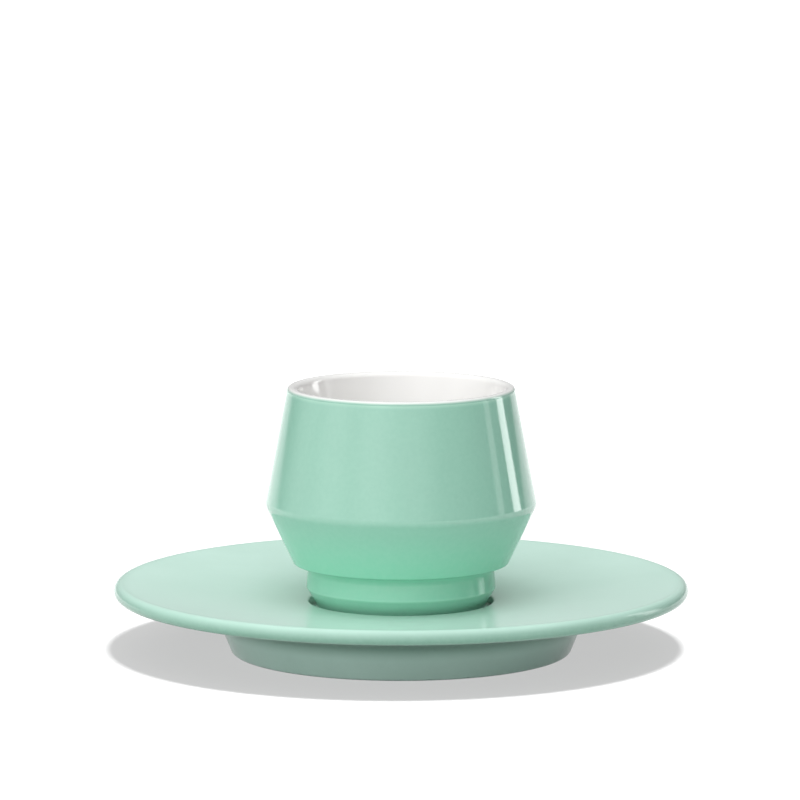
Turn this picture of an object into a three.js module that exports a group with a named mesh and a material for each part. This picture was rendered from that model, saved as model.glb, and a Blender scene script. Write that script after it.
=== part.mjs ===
import * as THREE from 'three';

// Handleless espresso cup standing in the well of its saucer, both turned in porcelain.
// Millimetres, +Z up, with the origin on the table under the middle of the saucer.

// Saucer: rounded rim, dish that slopes down to the well, hollow foot ring
const SAUCER_RADIUS = 65;
const RIM_HEIGHT = 16.3;
const RIM_THICKNESS = 3.2;
const DISH_DEPTH = 4.5;
const FLANGE_THICKNESS = 4.9;
const FLOOR_THICKNESS = 3.2;
const RING_FOOT_RADIUS = 38.4;
const RING_TOP_RADIUS = 42;
const RING_FOOT_WIDTH = 3.4;
const RING_DRAFT = 1.6;
const RING_ROOT_FILLET = 4.5;
const RING_OUTER_ROUNDING = 0.9;
const RING_INNER_ROUNDING = 0.7;
const RECESS_FILLET = 2.5;

// Well in the saucer, sized to take the cup's foot
const WELL_DEPTH = 2;
const WELL_PLAY = 1.6;
const WELL_DRAFT = 0.6;
const WELL_EDGE_ROUNDING = 0.5;
const WELL_FLOOR_FILLET = 0.8;
const SEAT_GAP = 0.3;

// Cup outside, with heights above its own foot
const CUP_HEIGHT = 50.4;
const LIP_RADIUS = 25.65;
const CREASE_RADIUS = 30.8;
const CREASE_HEIGHT = 23.6;
const CREASE_ROUNDING = 3;
const STEP_WIDTH = 3.3;
const STEP_HEIGHT = 10.2;
const STEP_UNDERCUT = 0.5;
const STEP_ROUNDING = 0.7;
const NECK_RADIUS = 21.1;
const NECK_FLARE = 0.4;
const NECK_FILLET = 1.7;
const CHAMFER_WIDTH = 2.7;
const CHAMFER_HEIGHT = 4.65;
const CHAMFER_ROUNDING = 0.5;

// Underside of the cup: standing ring round a shallow recess
const CUP_RING_WIDTH = 2.6;
const CUP_RING_DRAFT = 1;
const CUP_RING_ROUNDING = 0.5;
const CUP_RECESS_DEPTH = 1.8;
const CUP_RECESS_FILLET = 0.8;

// Tapered bowl inside the cup, and its white lining, which wraps over the lip
const LIP_WIDTH = 2.2;
const BOWL_FLOOR_RADIUS = 13.5;
const BOWL_FLOOR_HEIGHT = 6.5;
const BOWL_FLOOR_FILLET = 8.4;
const LIP_INNER_ROUNDING = 1.4;
const LIP_OUTER_ROUNDING = 0.8;
const LIP_DROP = 0.8;
const LINING_THICKNESS = 0.5;
const BOND_GAP = 0.05;

// Facets
const SEGMENTS = 60;
const CHORD_ERROR = 0.05;

// Glaze colours
const MINT = 0x86c8ac;
const WHITE = 0xf1f0ee;
const GLAZE_ROUGHNESS = 0.12;

// Heights and radii that follow from the sizes above
const WELL_EDGE_HEIGHT = RIM_HEIGHT - DISH_DEPTH;
const WELL_FLOOR_HEIGHT = WELL_EDGE_HEIGHT - WELL_DEPTH;
const CHAMFER_RADIUS = NECK_RADIUS + NECK_FLARE;
const CUP_FOOT_RADIUS = CHAMFER_RADIUS - CHAMFER_WIDTH;
const WELL_FLOOR_RADIUS = CUP_FOOT_RADIUS + WELL_PLAY;
const WELL_EDGE_RADIUS = WELL_FLOOR_RADIUS + WELL_DRAFT;

// Height of the dish, and radius of the cup's upper cone
const dishHeight = (radius) =>
  WELL_EDGE_HEIGHT + DISH_DEPTH * (radius - WELL_EDGE_RADIUS) / (SAUCER_RADIUS - WELL_EDGE_RADIUS);
const upperConeRadius = (height) =>
  THREE.MathUtils.mapLinear(height, CREASE_HEIGHT, CUP_HEIGHT, CREASE_RADIUS, LIP_RADIUS);

const corner = (radius, height, rounding = 0) => ({ point: new THREE.Vector2(radius, height), rounding });

// Points of an outline whose corners are rounded by arcs, each taking at most half of the sides it joins
function outline(...corners) {
  return corners.flatMap(({ point, rounding }, i) => {
    if (rounding === 0) return point;
    const back = corners[i - 1].point.clone().sub(point);
    const ahead = corners[i + 1].point.clone().sub(point);
    const halfAngle = back.angleTo(ahead) / 2;
    const turn = Math.sign(ahead.cross(back)) * (Math.PI - 2 * halfAngle);
    const reach = Math.min(rounding / Math.tan(halfAngle), back.length() / 2, ahead.length() / 2);
    const start = back.setLength(reach).clone().add(point);
    const centre = back.add(ahead.setLength(reach)).divideScalar(2 * Math.cos(halfAngle) ** 2).add(point);
    const radius = reach * Math.tan(halfAngle);
    const chords = Math.ceil(Math.abs(turn) / (2 * Math.acos(1 - CHORD_ERROR / radius)));
    return Array.from({ length: chords + 1 }, (_, k) => start.clone().rotateAround(centre, turn * k / chords));
  });
}

// The same outline moved to its left, every side staying parallel
function offset(points, distance) {
  const normals = points.slice(1).map((next, i) => {
    const along = next.clone().sub(points[i]).normalize();
    return new THREE.Vector2(-along.y, along.x);
  });
  return points.map((point, i) => {
    const before = normals[Math.max(i - 1, 0)];
    const after = normals[Math.min(i, normals.length - 1)];
    const mitre = before.clone().add(after).divideScalar(1 + before.dot(after));
    return mitre.multiplyScalar(distance).add(point);
  });
}

// A piece of revolution about Z, from an outline that runs from its underside to its top
function turned(name, points, colour) {
  const geometry = new THREE.LatheGeometry(points, SEGMENTS).rotateX(Math.PI / 2);
  const material = new THREE.MeshStandardMaterial({ color: colour, roughness: GLAZE_ROUGHNESS, metalness: 0 });
  const mesh = new THREE.Mesh(geometry, material);
  mesh.name = name;
  return mesh;
}

// Saucer: recess inside the foot ring, ring, underside, rim, dish and well
function saucer() {
  const recessHeight = WELL_FLOOR_HEIGHT - FLOOR_THICKNESS;
  const ringInnerRadius = RING_FOOT_RADIUS - RING_FOOT_WIDTH;
  const recessRadius = ringInnerRadius - RING_DRAFT;
  return turned('saucer', outline(
    corner(0, recessHeight),
    corner(WELL_FLOOR_RADIUS, recessHeight),
    corner(recessRadius, dishHeight(recessRadius) - FLANGE_THICKNESS, RECESS_FILLET),
    corner(ringInnerRadius, 0, RING_INNER_ROUNDING),
    corner(RING_FOOT_RADIUS, 0, RING_OUTER_ROUNDING),
    corner(RING_TOP_RADIUS, dishHeight(RING_TOP_RADIUS) - FLANGE_THICKNESS, RING_ROOT_FILLET),
    corner(SAUCER_RADIUS, RIM_HEIGHT - RIM_THICKNESS, RIM_THICKNESS / 2),
    corner(SAUCER_RADIUS, RIM_HEIGHT, RIM_THICKNESS / 2),
    corner(WELL_EDGE_RADIUS, WELL_EDGE_HEIGHT, WELL_EDGE_ROUNDING),
    corner(WELL_FLOOR_RADIUS, WELL_FLOOR_HEIGHT, WELL_FLOOR_FILLET),
    corner(0, WELL_FLOOR_HEIGHT),
  ), MINT);
}

// White face of the cup: from the outside of the lip, over it, and down the inside to the middle of the floor
function whiteFace(drop) {
  const lipEdgeHeight = CUP_HEIGHT - drop;
  return outline(
    corner(upperConeRadius(lipEdgeHeight), lipEdgeHeight),
    corner(LIP_RADIUS, CUP_HEIGHT, LIP_OUTER_ROUNDING),
    corner(LIP_RADIUS - LIP_WIDTH, CUP_HEIGHT, LIP_INNER_ROUNDING),
    corner(BOWL_FLOOR_RADIUS, BOWL_FLOOR_HEIGHT, BOWL_FLOOR_FILLET),
    corner(0, BOWL_FLOOR_HEIGHT),
  );
}

// Lining: the white face, and the same face laid back by the lining's thickness
function cupLining() {
  const face = whiteFace(LIP_DROP);
  const bedded = offset(face, LINING_THICKNESS).reverse();
  return turned('cup_lining', [...bedded, ...face], WHITE);
}

// Body: foot, chamfer, hollow neck, undercut step and two cones outside, bed for the lining inside
function cupBody() {
  const ringInnerRadius = CUP_FOOT_RADIUS - CUP_RING_WIDTH;
  const outside = outline(
    corner(0, CUP_RECESS_DEPTH),
    corner(ringInnerRadius - CUP_RING_DRAFT, CUP_RECESS_DEPTH, CUP_RECESS_FILLET),
    corner(ringInnerRadius, 0, CUP_RING_ROUNDING),
    corner(CUP_FOOT_RADIUS, 0, CUP_RING_ROUNDING),
    corner(CHAMFER_RADIUS, CHAMFER_HEIGHT, CHAMFER_ROUNDING),
    corner(NECK_RADIUS, STEP_HEIGHT - STEP_UNDERCUT, NECK_FILLET),
    corner(NECK_RADIUS + STEP_WIDTH, STEP_HEIGHT, STEP_ROUNDING),
    corner(CREASE_RADIUS, CREASE_HEIGHT, CREASE_ROUNDING),
    corner(upperConeRadius(CUP_HEIGHT - LIP_DROP - BOND_GAP), CUP_HEIGHT - LIP_DROP - BOND_GAP),
  );
  const bed = offset(whiteFace(LIP_DROP + BOND_GAP), LINING_THICKNESS + BOND_GAP);
  return turned('cup_body', [...outside, ...bed], MINT);
}

const cup = new THREE.Group();
cup.position.z = WELL_FLOOR_HEIGHT + SEAT_GAP;
cup.add(cupBody(), cupLining());

const assembly = new THREE.Group();
assembly.add(saucer(), cup);

export default assembly;
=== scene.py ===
from math import ceil, cos, pi, radians, sin, tan

import bmesh
import bpy
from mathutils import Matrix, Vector


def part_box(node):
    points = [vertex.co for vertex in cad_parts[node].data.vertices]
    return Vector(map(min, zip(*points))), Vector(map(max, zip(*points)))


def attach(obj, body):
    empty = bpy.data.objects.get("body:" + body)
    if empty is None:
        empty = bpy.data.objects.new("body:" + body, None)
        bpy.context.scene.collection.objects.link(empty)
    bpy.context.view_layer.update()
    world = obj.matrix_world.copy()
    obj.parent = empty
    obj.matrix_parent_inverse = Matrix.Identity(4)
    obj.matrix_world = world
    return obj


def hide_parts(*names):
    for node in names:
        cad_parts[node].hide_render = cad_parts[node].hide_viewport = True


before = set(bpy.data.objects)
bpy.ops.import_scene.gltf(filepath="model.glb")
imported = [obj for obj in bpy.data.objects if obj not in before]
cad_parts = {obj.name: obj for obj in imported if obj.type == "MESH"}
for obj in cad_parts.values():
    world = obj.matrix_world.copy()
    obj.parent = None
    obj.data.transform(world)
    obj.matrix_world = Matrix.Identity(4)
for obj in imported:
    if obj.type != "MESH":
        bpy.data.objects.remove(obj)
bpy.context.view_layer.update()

# Saucer. A wide dish of porcelain on a hollow foot ring, turned true and glazed mint all over,
# with a well in its middle that takes the cup's foot. It stands loose on the table on the flat end
# of its foot ring, which is wiped bare of glaze before firing.
MM = 0.001
TOUCHING = 0.001 * MM
SIDES = 256
ARC_STEP = radians(8)


def on_ring(edge, radius, height):
    """True for an edge that runs along the ring of that radius and height, in millimetres."""
    return all(
        abs(vert.co.xy.length - radius * MM) < TOUCHING and abs(vert.co.z - height * MM) < TOUCHING
        for vert in edge.verts)


def choose(piece, parts, test):
    """Selects the edges or faces of a piece that pass a test, and nothing else."""
    bpy.ops.mesh.select_all(action="DESELECT")
    clay = bmesh.from_edit_mesh(piece.data)
    for part in getattr(clay, parts):
        if test(part):
            part.select_set(True)
    bmesh.update_edit_mesh(piece.data)


def round_off(piece, before, corner, after):
    """Rounds the ring at one corner of an outline to the radius that the corner asks for."""
    back = Vector(before[:2]) - Vector(corner[:2])
    ahead = Vector(after[:2]) - Vector(corner[:2])
    half_angle = back.angle(ahead) / 2
    choose(piece, "edges", lambda edge: on_ring(edge, *corner[:2]))
    bpy.ops.mesh.bevel(
        offset_type="OFFSET", offset=corner[2] * MM / tan(half_angle), affect="EDGES",
        segments=ceil((pi - 2 * half_angle) / ARC_STEP), profile=0.5, clamp_overlap=False)


def thrown(name, outline):
    """Pulls a ring from corner to corner of an outline, closes both ends and rounds the corners.
    A corner is its radius, height and rounding in millimetres."""
    bpy.ops.object.select_all(action="DESELECT")
    radius, height = outline[0][:2]
    bpy.ops.mesh.primitive_circle_add(
        vertices=SIDES, radius=radius * MM, location=(0, 0, height * MM), fill_type="NOTHING")
    piece = bpy.context.object
    piece.name = piece.data.name = name
    bpy.ops.object.transform_apply(location=True, rotation=True, scale=True)
    bpy.ops.object.mode_set(mode="EDIT")
    bpy.ops.mesh.select_mode(type="EDGE")
    bpy.ops.mesh.select_all(action="SELECT")
    for next_radius, next_height, _ in outline[1:]:
        bpy.ops.mesh.extrude_region_move(
            TRANSFORM_OT_translate={"value": (0, 0, (next_height - height) * MM)})
        bpy.ops.transform.resize(
            value=(next_radius / radius, next_radius / radius, 1),
            center_override=(0, 0, next_height * MM))
        radius, height = next_radius, next_height
    bpy.ops.mesh.edge_face_add()
    choose(piece, "edges", lambda edge: on_ring(edge, *outline[0][:2]))
    bpy.ops.mesh.edge_face_add()
    for before, corner, after in zip(outline, outline[1:], outline[2:]):
        if corner[2]:
            round_off(piece, before, corner, after)
    bpy.ops.mesh.select_all(action="SELECT")
    bpy.ops.mesh.remove_doubles(threshold=TOUCHING)
    bpy.ops.mesh.normals_make_consistent(inside=False)
    bpy.ops.object.mode_set(mode="OBJECT")
    return piece


def smoothed(piece):
    """Shades a piece smooth, its flat runs staying flat right up to the roundings beside them."""
    bpy.ops.object.select_all(action="DESELECT")
    piece.select_set(True)
    bpy.context.view_layer.objects.active = piece
    bpy.ops.object.shade_smooth()
    even = piece.modifiers.new("even_gloss", "WEIGHTED_NORMAL")
    even.weight = 100
    bpy.ops.object.modifier_apply(modifier=even.name)


SAUCER_RADIUS, _, RIM_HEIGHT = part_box("saucer")[1] / MM
RIM_THICKNESS = 3.2
RIM_TOP_ROUNDING = 1.8
RIM_UNDER_ROUNDING = 1.35
RIM_UNDER_HEIGHT = RIM_HEIGHT - RIM_THICKNESS
DISH_DEPTH = 4.5
FLANGE_THICKNESS = 4.9
FLOOR_THICKNESS = 3.2
WELL_DEPTH = 2.0
WELL_EDGE_RADIUS = 21.0
WELL_EDGE_ROUNDING = 0.5
WELL_FLOOR_RADIUS = 20.4
WELL_FLOOR_FILLET = 0.8
WELL_EDGE_HEIGHT = RIM_HEIGHT - DISH_DEPTH
WELL_FLOOR_HEIGHT = WELL_EDGE_HEIGHT - WELL_DEPTH
RING_TOP_RADIUS = 42.0
RING_ROOT_FILLET = 4.5
RING_FOOT_RADIUS = 38.4
RING_OUTER_ROUNDING = 0.9
RING_INNER_RADIUS = 35.0
RING_INNER_ROUNDING = 0.7
RECESS_RADIUS = 33.4
RECESS_FILLET = 2.5
RECESS_HEIGHT = WELL_FLOOR_HEIGHT - FLOOR_THICKNESS
MIDDLE = 4.0


def flange_height(radius):
    """Height of the underside, which keeps the flange at one thickness under the sloping dish."""
    slope = DISH_DEPTH / (SAUCER_RADIUS - WELL_EDGE_RADIUS)
    return WELL_EDGE_HEIGHT + slope * (radius - WELL_EDGE_RADIUS) - FLANGE_THICKNESS


saucer = thrown("saucer_dish", [
    (MIDDLE, WELL_FLOOR_HEIGHT, 0),
    (WELL_FLOOR_RADIUS, WELL_FLOOR_HEIGHT, WELL_FLOOR_FILLET),
    (WELL_EDGE_RADIUS, WELL_EDGE_HEIGHT, WELL_EDGE_ROUNDING),
    (SAUCER_RADIUS, RIM_HEIGHT, RIM_TOP_ROUNDING),
    (SAUCER_RADIUS, RIM_UNDER_HEIGHT, RIM_UNDER_ROUNDING),
    (RING_TOP_RADIUS, flange_height(RING_TOP_RADIUS), RING_ROOT_FILLET),
    (RING_FOOT_RADIUS, 0, RING_OUTER_ROUNDING),
    (RING_INNER_RADIUS, 0, RING_INNER_ROUNDING),
    (RECESS_RADIUS, flange_height(RECESS_RADIUS), RECESS_FILLET),
    (WELL_FLOOR_RADIUS, RECESS_HEIGHT, 0),
    (MIDDLE, RECESS_HEIGHT, 0),
])
smoothed(saucer)


def add_node(tree, kind, sockets=None, **settings):
    """Adds a shader node, sets its choices, and fills its sockets with values or with links."""
    node = tree.nodes.new("ShaderNode" + kind)
    for setting, value in settings.items():
        setattr(node, setting, value)
    for socket, value in (sockets or {}).items():
        if isinstance(value, bpy.types.NodeSocket):
            tree.links.new(value, node.inputs[socket])
        else:
            node.inputs[socket].default_value = value
    return node


def combined(tree, operation, first, second):
    """Sum, product, larger or comparison of two values."""
    return add_node(tree, "Math", {0: first, 1: second}, operation=operation).outputs["Value"]


def ranged(tree, value, start, end, low, high, curve="LINEAR"):
    """Goes from low to high while a value goes from start to end, and holds beyond them."""
    return add_node(
        tree, "MapRange",
        {"Value": value, "From Min": start, "From Max": end, "To Min": low, "To Max": high},
        interpolation_type=curve).outputs["Result"]


def noise(tree, place, scale, detail):
    """Soft random pattern from 0 to 1."""
    return add_node(
        tree, "TexNoise", {"Vector": place, "Scale": scale, "Detail": detail}).outputs["Fac"]


def near_rings(tree, section, rings):
    """1 on the given rings and 0 out of their reach.
    A ring is its radius, height and reach in millimetres."""
    total = 0
    for radius, height, reach in rings:
        ring = (radius * MM, height * MM, 0)
        away = add_node(
            tree, "VectorMath", {0: section, 1: ring}, operation="DISTANCE").outputs["Value"]
        here = ranged(tree, away, 0, reach * MM, 1, 0, "SMOOTHSTEP")
        total = combined(tree, "MAXIMUM", total, here)
    return total


def blended(tree, share, first, second):
    """Colour that goes from the first to the second as share goes from 0 to 1.
    A Mix node has its colours in the inputs 6 and 7 and the output 2."""
    mixer = add_node(tree, "Mix", {"Factor": share}, data_type="RGBA")
    for socket, colour in ((6, first), (7, second)):
        if isinstance(colour, bpy.types.NodeSocket):
            tree.links.new(colour, mixer.inputs[socket])
        else:
            mixer.inputs[socket].default_value = (*colour, 1)
    return mixer.outputs[2]


SAUCER_MINT = (0.600, 0.850, 0.750)
# Deep mint painted on as shade: the rim's lower half, under the flange and the well's floor.
SAUCER_PAINTED_SHADE = (0.060, 0.215, 0.135)
SAUCER_DULLNESS = 0.22
MINT_THIN = (0.450, 0.710, 0.595)
GLAZE_INDEX = 1.54
GLAZE_ROUGHNESS = (0.055, 0.105)
ROUGHER_WHEN_DULL = 0.4
POOLED_AND_SHADE_SHARE = 0.75
DRIFTS_PER_METRE = 55
DRIFT_SPAN = (0.3, 0.7)
DRIFT_SHARE = 0.08
GRAINS_PER_METRE = 900
GRAIN_ROUGHNESS = 0.03
FLECK_SPAN = (0.35, 0.65)
FLECK_SHARE = 0.07
PINHOLE_CELLS_PER_METRE = 120
CELLS_WITHOUT_PINHOLE = 0.93
PINHOLE_EDGE = (0.010, 0.022)
PINHOLE_SHARE = 0.35
PINHOLE_COLOUR = (0.16, 0.15, 0.13)
SWELLS_PER_METRE = 45
SWELL_HEIGHT = 0.005 * MM


def fired_glaze(
        name, colour, thin_colour, pooled_and_shade_colour, thin_rings, pooled_and_shade_rings, dullness=0, edge=None):
    """Glossy glaze that runs thin and pale over edges and has a faint drift of thickness, a few
    pinholes and the soft waviness of a melted surface. On the rings it is given it takes another
    colour: glaze pooled in hollows, and on the mint also painted shade and painted bounce light."""
    material = bpy.data.materials.new(name)
    material.use_nodes = True
    tree = material.node_tree
    shader = tree.nodes["Principled BSDF"]
    place = add_node(tree, "TexCoord").outputs["Object"]
    x, y, z = add_node(tree, "SeparateXYZ", {0: place}).outputs
    level = add_node(tree, "CombineXYZ", {"X": x, "Y": y}).outputs["Vector"]
    radius = add_node(tree, "VectorMath", {0: level}, operation="LENGTH").outputs["Value"]
    section = add_node(tree, "CombineXYZ", {"X": radius, "Y": z}).outputs["Vector"]

    drift = noise(tree, place, DRIFTS_PER_METRE, 3)
    grain = noise(tree, place, GRAINS_PER_METRE, 2)
    thin = combined(tree, "MULTIPLY", near_rings(tree, section, thin_rings), drift)
    # Another colour on the given rings: glaze pooled in hollows, and on the mint also painted
    # shade and painted bounce light.
    pooled_and_shade = combined(tree, "MULTIPLY", near_rings(tree, section, pooled_and_shade_rings), POOLED_AND_SHADE_SHARE)
    paint = blended(tree, thin, colour, thin_colour)
    paint = blended(tree, pooled_and_shade, paint, pooled_and_shade_colour)
    paint = blended(tree, ranged(tree, drift, *DRIFT_SPAN, 0, DRIFT_SHARE), paint, pooled_and_shade_colour)
    paint = blended(tree, ranged(tree, grain, *FLECK_SPAN, 0, FLECK_SHARE), paint, thin_colour)
    if edge:
        paint = edge(tree, radius, z, drift, paint)

    cells = add_node(
        tree, "TexVoronoi",
        {"Vector": place, "Scale": PINHOLE_CELLS_PER_METRE, "Randomness": 1}).outputs
    pit = ranged(tree, cells["Distance"], *PINHOLE_EDGE, 1, 0, "SMOOTHSTEP")
    chance = add_node(tree, "SeparateColor", {0: cells["Color"]}).outputs["Red"]
    rare = combined(tree, "GREATER_THAN", chance, CELLS_WITHOUT_PINHOLE)
    pinhole = combined(tree, "MULTIPLY", combined(tree, "MULTIPLY", pit, rare), PINHOLE_SHARE)
    paint = blended(tree, pinhole, paint, PINHOLE_COLOUR)
    tree.links.new(paint, shader.inputs["Base Color"])

    low, high = (roughness + ROUGHER_WHEN_DULL * dullness for roughness in GLAZE_ROUGHNESS)
    haze = ranged(tree, drift, *DRIFT_SPAN, low, high)
    haze = combined(tree, "ADD", haze, combined(tree, "MULTIPLY", grain, GRAIN_ROUGHNESS))
    tree.links.new(haze, shader.inputs["Roughness"])
    shader.inputs["IOR"].default_value = GLAZE_INDEX - dullness

    waves = noise(tree, place, SWELLS_PER_METRE, 0)
    swell = add_node(tree, "Bump", {"Strength": 1, "Distance": SWELL_HEIGHT, "Height": waves})
    tree.links.new(swell.outputs["Normal"], shader.inputs["Normal"])
    return material


saucer.data.materials.append(fired_glaze(
    "mint_glaze_saucer", SAUCER_MINT, MINT_THIN, SAUCER_PAINTED_SHADE,
    thin_rings=[(WELL_EDGE_RADIUS, WELL_EDGE_HEIGHT, 0.8)],
    # These rings paint shade on the rim's lower half, round the foot ring's root and on the well's
    # floor.
    pooled_and_shade_rings=[
        (RING_TOP_RADIUS, flange_height(RING_TOP_RADIUS), 4.8),
        (SAUCER_RADIUS, RIM_UNDER_HEIGHT, 4.6),
        (WELL_FLOOR_RADIUS, WELL_FLOOR_HEIGHT, 1.2)],
    dullness=SAUCER_DULLNESS))

BARE = (0.72, 0.69, 0.63)
BARE_PALE = (0.80, 0.77, 0.72)
BARE_ROUGHNESS = (0.55, 0.8)
BARE_GRAINS_PER_METRE = 2500
BARE_GRAIN_SPAN = (0.3, 0.7)
RUBBED = (0.52, 0.51, 0.49)
RUBS_PER_METRE = 260
RUBBED_SPAN = (0.45, 0.75)
RUBBED_SHARE = 0.5
TOOTH_HEIGHT = 0.02 * MM
TOOTH_STRENGTH = 0.6


def bare_porcelain():
    """Fired body without glaze, sanded flat: dull and faintly warm, with fine grains and grey
    rubbing marks."""
    material = bpy.data.materials.new("bare_porcelain")
    material.use_nodes = True
    tree = material.node_tree
    shader = tree.nodes["Principled BSDF"]
    place = add_node(tree, "TexCoord").outputs["Object"]
    grain = noise(tree, place, BARE_GRAINS_PER_METRE, 3)
    rubs = noise(tree, place, RUBS_PER_METRE, 4)
    paint = blended(tree, grain, BARE, BARE_PALE)
    paint = blended(tree, ranged(tree, rubs, *RUBBED_SPAN, 0, RUBBED_SHARE), paint, RUBBED)
    tree.links.new(paint, shader.inputs["Base Color"])
    roughness = ranged(tree, grain, *BARE_GRAIN_SPAN, *BARE_ROUGHNESS)
    tree.links.new(roughness, shader.inputs["Roughness"])
    tooth = add_node(
        tree, "Bump", {"Strength": TOOTH_STRENGTH, "Distance": TOOTH_HEIGHT, "Height": grain})
    tree.links.new(tooth.outputs["Normal"], shader.inputs["Normal"])
    return material


DOWNWARD = -0.99
END_PLAY = 0.05


def wiped_bare(piece, height, inner_radius, outer_radius):
    """Gives the flat end of a standing ring its unglazed finish."""
    piece.data.materials.append(bare_porcelain())
    for face in piece.data.polygons:
        looks_down = face.normal.z < DOWNWARD
        at_the_end = abs(face.center.z - height * MM) < END_PLAY * MM
        in_the_ring = inner_radius * MM < face.center.xy.length < outer_radius * MM
        if looks_down and at_the_end and in_the_ring:
            face.material_index = 1


wiped_bare(saucer, 0, RING_INNER_RADIUS, RING_FOOT_RADIUS)
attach(saucer, "saucer")
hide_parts("saucer")

# Cup body. One piece of porcelain without a handle: two cones that meet in a soft crease, an
# undercut step, a hollowed neck and a chamfered foot, glazed mint outside. It stands loose in the
# saucer's well on a narrow ring that is bare of glaze.
FOOT_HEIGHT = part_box("cup_body")[0].z / MM
LIP_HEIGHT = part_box("cup_lining")[1].z / MM
LIP_RADIUS = 25.65
LIP_WIDTH = 2.2
LIP_OUTER_ROUNDING = 0.8
LIP_INNER_ROUNDING = 1.4
CREASE_RADIUS = 30.8
CREASE_HEIGHT = FOOT_HEIGHT + 23.6
CREASE_ROUNDING = 3.0
STEP_RADIUS = 24.4
STEP_HEIGHT = FOOT_HEIGHT + 10.2
STEP_UNDERCUT = 0.5
STEP_ROUNDING = 0.7
NECK_RADIUS = 21.1
NECK_HEIGHT = STEP_HEIGHT - STEP_UNDERCUT
NECK_FILLET = 1.7
CHAMFER_RADIUS = 21.5
CHAMFER_HEIGHT = FOOT_HEIGHT + 4.65
CHAMFER_ROUNDING = 0.5
FOOT_RADIUS = 18.8
FOOT_RING_WIDTH = 2.6
FOOT_RING_DRAFT = 1.0
FOOT_RING_ROUNDING = 0.5
FOOT_RING_RADIUS = FOOT_RADIUS - FOOT_RING_WIDTH
FOOT_RECESS_HEIGHT = FOOT_HEIGHT + 1.8
FOOT_RECESS_FILLET = 0.8
FLOOR_RADIUS = 13.5
FLOOR_HEIGHT = FOOT_HEIGHT + 6.5
FLOOR_FILLET = 8.4
WHITE_DROP = 0.8
WHITE_EDGE_HEIGHT = LIP_HEIGHT - WHITE_DROP
CONE_SLOPE = (CREASE_RADIUS - LIP_RADIUS) / (LIP_HEIGHT - CREASE_HEIGHT)
WHITE_EDGE_RADIUS = LIP_RADIUS + WHITE_DROP * CONE_SLOPE
LINING_THICKNESS = 0.5
BED_GAP = 0.05

cup = thrown("cup_shell", [
    (MIDDLE, FOOT_RECESS_HEIGHT, 0),
    (FOOT_RING_RADIUS - FOOT_RING_DRAFT, FOOT_RECESS_HEIGHT, FOOT_RECESS_FILLET),
    (FOOT_RING_RADIUS, FOOT_HEIGHT, FOOT_RING_ROUNDING),
    (FOOT_RADIUS, FOOT_HEIGHT, FOOT_RING_ROUNDING),
    (CHAMFER_RADIUS, CHAMFER_HEIGHT, CHAMFER_ROUNDING),
    (NECK_RADIUS, NECK_HEIGHT, NECK_FILLET),
    (STEP_RADIUS, STEP_HEIGHT, STEP_ROUNDING),
    (CREASE_RADIUS, CREASE_HEIGHT, CREASE_ROUNDING),
    (WHITE_EDGE_RADIUS, WHITE_EDGE_HEIGHT, 0),
    (LIP_RADIUS, LIP_HEIGHT, LIP_OUTER_ROUNDING),
    (LIP_RADIUS - LIP_WIDTH, LIP_HEIGHT, LIP_INNER_ROUNDING),
    (FLOOR_RADIUS, FLOOR_HEIGHT, FLOOR_FILLET),
    (MIDDLE, FLOOR_HEIGHT, 0),
])


UPWARD = 0.9
FLOOR_PLAY = 0.01


def is_white(face):
    """True for a face over the lip or inside the cup, which the white glaze covers."""
    middle, normal = face.calc_center_median() / MM, face.normal
    looks_in = normal.xy.dot(middle.xy) < 0 or normal.z > UPWARD
    return middle.z > WHITE_EDGE_HEIGHT or (middle.z > FLOOR_HEIGHT - FLOOR_PLAY and looks_in)


bpy.ops.object.mode_set(mode="EDIT")
bpy.ops.mesh.select_mode(type="FACE")
choose(cup, "faces", is_white)
bpy.ops.mesh.duplicate()
bpy.ops.mesh.separate(type="SELECTED")
choose(cup, "faces", is_white)
bpy.ops.mesh.extrude_region_shrink_fatten(
    TRANSFORM_OT_shrink_fatten={
        "value": -(LINING_THICKNESS + BED_GAP) * MM, "use_even_offset": True})
bpy.ops.object.mode_set(mode="OBJECT")
lining = next(piece for piece in bpy.context.selected_objects if piece != cup)
smoothed(cup)

# The mint deepens below the crease and is deepest round the neck: partly glaze that runs down
# the cup, partly painted green light bounced up from the saucer.
MINT = (0.285, 0.525, 0.420)
MINT_RUN_AND_BOUNCE = (0.260, 0.685, 0.480)
GLAZE_RUN_AND_BOUNCE = (25.5, FOOT_HEIGHT + 8.5, 18)
cup.data.materials.append(fired_glaze(
    "mint_glaze_cup", MINT, MINT_THIN, MINT_RUN_AND_BOUNCE,
    thin_rings=[
        (CHAMFER_RADIUS, CHAMFER_HEIGHT, 0.6),
        (WHITE_EDGE_RADIUS, WHITE_EDGE_HEIGHT, 0.9)],
    # Greener rings at the neck, over the lower cone and at the foot: glaze run and painted bounce
    # light.
    pooled_and_shade_rings=[
        (NECK_RADIUS + 0.3, NECK_HEIGHT - 0.3, 1.9),
        GLAZE_RUN_AND_BOUNCE,
        (FOOT_RADIUS, FOOT_HEIGHT, 1.2)]))
wiped_bare(cup, FOOT_HEIGHT, FOOT_RING_RADIUS, FOOT_RADIUS)
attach(cup, "cup")
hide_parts("cup_body")

# White lining of the cup. A white glaze poured into the cup and rolled out over the lip, where it
# meets the mint in a soft line. It is half a millimetre thick and fused to the body.
lining.name = lining.data.name = "cup_lining_glaze"
bpy.ops.object.select_all(action="DESELECT")
lining.select_set(True)
bpy.context.view_layer.objects.active = lining
poured = lining.modifiers.new("poured", "SOLIDIFY")
poured.thickness = LINING_THICKNESS * MM
poured.offset = -1
poured.use_even_offset = True
bpy.ops.object.modifier_apply(modifier=poured.name)
smoothed(lining)

WHITE = (0.860, 0.853, 0.838)
WHITE_THIN = (0.845, 0.842, 0.832)
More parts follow.
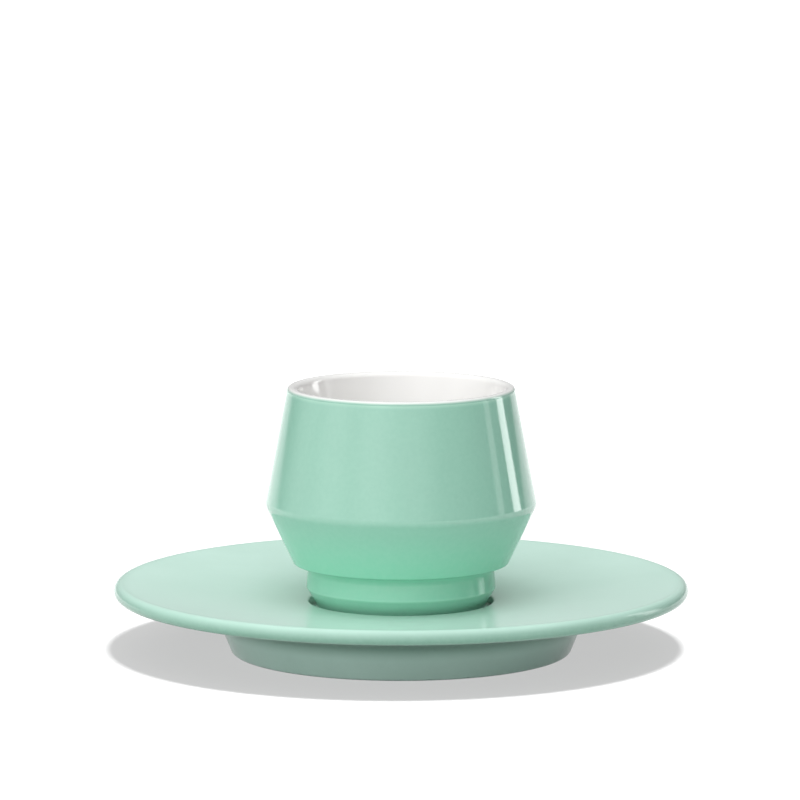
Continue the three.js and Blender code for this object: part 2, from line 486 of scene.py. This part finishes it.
# A greyer white on the cup's floor.
WHITE_FLOOR_GREY = (0.760, 0.762, 0.745)
MEETING_DROP = 0.32
MEETING_SOFTNESS = 0.38
MEETING_WOBBLE = 0.25
MEAN_WOBBLE = 0.12
LIP_MIDDLE_RADIUS = LIP_RADIUS - LIP_WIDTH / 2


def meets_mint(tree, radius, z, drift, paint):
    """Lets the white fade into the mint outside the lip, along a line that wavers a little."""
    wobble = combined(tree, "MULTIPLY", drift, MEETING_WOBBLE * MM)
    height = combined(tree, "ADD", z, wobble)
    line = (LIP_HEIGHT - MEETING_DROP + MEAN_WOBBLE) * MM
    softness = MEETING_SOFTNESS * MM
    low = ranged(tree, height, line + softness, line - softness, 0, 1, "SMOOTHSTEP")
    outside = combined(tree, "GREATER_THAN", radius, LIP_MIDDLE_RADIUS * MM)
    return blended(tree, combined(tree, "MULTIPLY", low, outside), paint, MINT)


lining.data.materials.append(fired_glaze(
    "white_glaze", WHITE, WHITE_THIN, WHITE_FLOOR_GREY,
    thin_rings=[(LIP_MIDDLE_RADIUS, LIP_HEIGHT, 2.0)],
    pooled_and_shade_rings=[(FLOOR_RADIUS / 2, FLOOR_HEIGHT, 8.0)], edge=meets_mint))
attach(lining, "cup")
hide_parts("cup_lining")

# Table. A plain white sweep that the saucer stands on. It shows white to the camera and in the
# gloss, lights what faces it a little, and takes the shadow of the lamp overhead.
TABLE_SIZE = 12
TABLE_GREY = (0.1, 0.1, 0.1, 1)
SHADOW_LEVEL = 0.53
SHADOW_REACH = 0.1
WHITE_REACH = 0.4
FLOOR_BOUNCE = 0.13
bpy.ops.object.select_all(action="DESELECT")
bpy.ops.mesh.primitive_plane_add(size=TABLE_SIZE, location=(0, 0, 0))
table = bpy.context.object
table.name = table.data.name = "table"
sweep = bpy.data.materials.new("white_sweep")
sweep.use_nodes = True
tree = sweep.node_tree
tree.nodes.remove(tree.nodes["Principled BSDF"])
rays = add_node(tree, "LightPath").outputs
seen = combined(tree, "ADD", rays["Is Camera Ray"], rays["Is Glossy Ray"])
seen = combined(tree, "ADD", seen, rays["Is Transmission Ray"])
place = add_node(tree, "TexCoord").outputs["Object"]
far = add_node(tree, "VectorMath", {0: place}, operation="LENGTH").outputs["Value"]
level = ranged(tree, far, SHADOW_REACH, WHITE_REACH, SHADOW_LEVEL, 1, "SMOOTHSTEP")
glow = combined(tree, "MULTIPLY", ranged(tree, seen, 0, 1, FLOOR_BOUNCE, 1), level)
lit = add_node(tree, "BsdfDiffuse", {"Color": TABLE_GREY}).outputs["BSDF"]
shining = add_node(tree, "Emission", {"Strength": glow}).outputs["Emission"]
both = add_node(tree, "AddShader", {0: lit, 1: shining}).outputs["Shader"]
tree.links.new(both, tree.nodes["Material Output"].inputs["Surface"])
table.data.materials.append(sweep)


# Lamps. One overhead lights the table alone and casts the drop shadow, and two tall strips on the
# right, a little behind, show in the gloss alone.
def heading(azimuth, elevation):
    """Direction from the object, in degrees: 0 is the camera's side, positive is to the right."""
    turn, lift = radians(azimuth), radians(elevation)
    return Vector((sin(turn) * cos(lift), -cos(turn) * cos(lift), sin(lift)))


def facing(stand, aim):
    """Turn of a lamp or camera that stands in one place and looks at another."""
    return (aim - stand).to_track_quat("-Z", "Y").to_euler()


LAMP_AIM = Vector((0, 0, 0.03))
WATTS_PER_RADIANCE = 4


def lamp(name, azimuth, elevation, distance, width, height, radiance):
    """A soft box that faces the object from that side."""
    stand = heading(azimuth, elevation) * distance
    bpy.ops.object.light_add(type="AREA", location=stand, rotation=facing(stand, LAMP_AIM))
    box = bpy.context.object
    box.name = box.data.name = name
    box.data.shape = "RECTANGLE"
    box.data.size, box.data.size_y = width, height
    box.data.energy = WATTS_PER_RADIANCE * width * height * radiance
    box.visible_camera = False
    return box


overhead = lamp(
    "overhead", azimuth=20, elevation=74, distance=1.4, width=0.24, height=0.24, radiance=600)
overhead_floor = bpy.data.collections.new("under_the_overhead")
overhead_floor.objects.link(table)
overhead.light_linking.receiver_collection = overhead_floor
strip_right = lamp(
    "strip_right",
    azimuth=115.5, elevation=16, distance=1.0, width=0.2, height=0.56, radiance=4.2)
strip_right.visible_diffuse = False
strip_far_right = lamp(
    "strip_far_right",
    azimuth=93.8, elevation=16, distance=1.0, width=0.13, height=0.5, radiance=1.1)
strip_far_right.visible_diffuse = False

# World. A soft white tent: brightest overhead, bright in front and on the left, and dim behind and
# on the right. Each patch is an azimuth, elevation and spread in degrees, and how much it adds.
TENT_LEVEL = 0.37
TENT_PATCHES = [
    (-85, 3, 45, 0.7),
    (-45, 7, 45, 0.85),
    (-5, 11, 45, 0.9),
    (-20, 80, 60, 1.6),
    (180, 14, 50, 0.25),
    (115, 0, 75, -0.35),
    (-145, 0, 50, -0.3),
]
tent = bpy.data.worlds.new("tent")
bpy.context.scene.world = tent
tent.use_nodes = True
tree = tent.node_tree
way = add_node(tree, "TexCoord").outputs["Generated"]
total = TENT_LEVEL
for azimuth, elevation, spread, strength in TENT_PATCHES:
    middle = heading(azimuth, elevation)
    nearness = add_node(
        tree, "VectorMath", {0: way, 1: middle}, operation="DOT_PRODUCT").outputs["Value"]
    patch = ranged(tree, nearness, cos(radians(spread)), 1, 0, strength, "SMOOTHSTEP")
    total = combined(tree, "ADD", total, patch)
tree.links.new(total, tree.nodes["Background"].inputs["Strength"])
tree.nodes["Background"].inputs["Color"].default_value = (1, 1, 1, 1)

# Camera. A long lens a metre and a half away, ten degrees above the table, with the cup and saucer
# filling the frame as they do in the photograph.
CAMERA_DISTANCE = 1.5
CAMERA_ELEVATION = 10.41
CAMERA_AIM = Vector((-0.00025, 0, 0.05737))
stand = heading(0, CAMERA_ELEVATION) * CAMERA_DISTANCE
bpy.ops.object.camera_add(location=stand, rotation=facing(stand, CAMERA_AIM))
camera = bpy.context.object
camera.data.sensor_width = 36
camera.data.lens = 297.1
bpy.context.scene.camera = camera
bpy.context.scene.view_settings.view_transform = "Standard"
